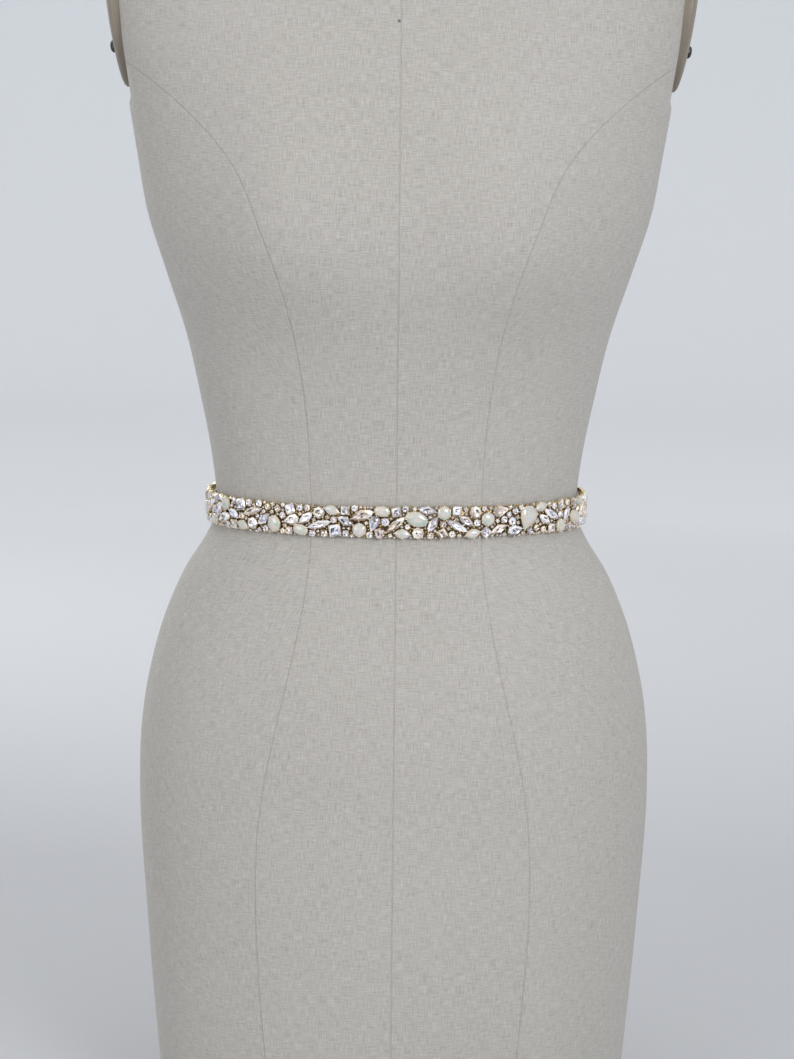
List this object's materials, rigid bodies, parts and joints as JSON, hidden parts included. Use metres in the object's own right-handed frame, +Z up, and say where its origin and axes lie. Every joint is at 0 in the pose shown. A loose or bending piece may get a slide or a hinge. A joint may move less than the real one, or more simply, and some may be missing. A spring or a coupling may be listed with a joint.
{
  "type": "bridal sash on a dress form",
  "caption": "Narrow satin ribbon sash with a jewelled crystal and opal trim, tied at the back of the waist of a limbless linen-covered dress form.",
  "frame": {"origin": "on the floor, in the dress form's flat base, under the middle of its waist", "axes": "+Z up, -Y the way the dress form faces, +X to the right of someone who looks at its front"},
  "size_m": [0.374, 0.2564, 0.8973],
  "materials": {
    "linen": "matt, fine plain weave",
    "plate": "satin paint",
    "ribbon": "satin, soft sheen",
    "setting": "antique gold plating",
    "crystal": "cut and foil-backed",
    "opal": "milky, smooth"
  },
  "bodies": {
    "root": {"dress_form": "linen", "arm_plate_left": "plate", "arm_plate_right": "plate", "neck_cap": "plate", "ribbon_band": "ribbon", "knot": "ribbon", "tail_left": "ribbon", "tail_right": "ribbon", "jewel_trim": "setting"}
  },
  "joints": []
}
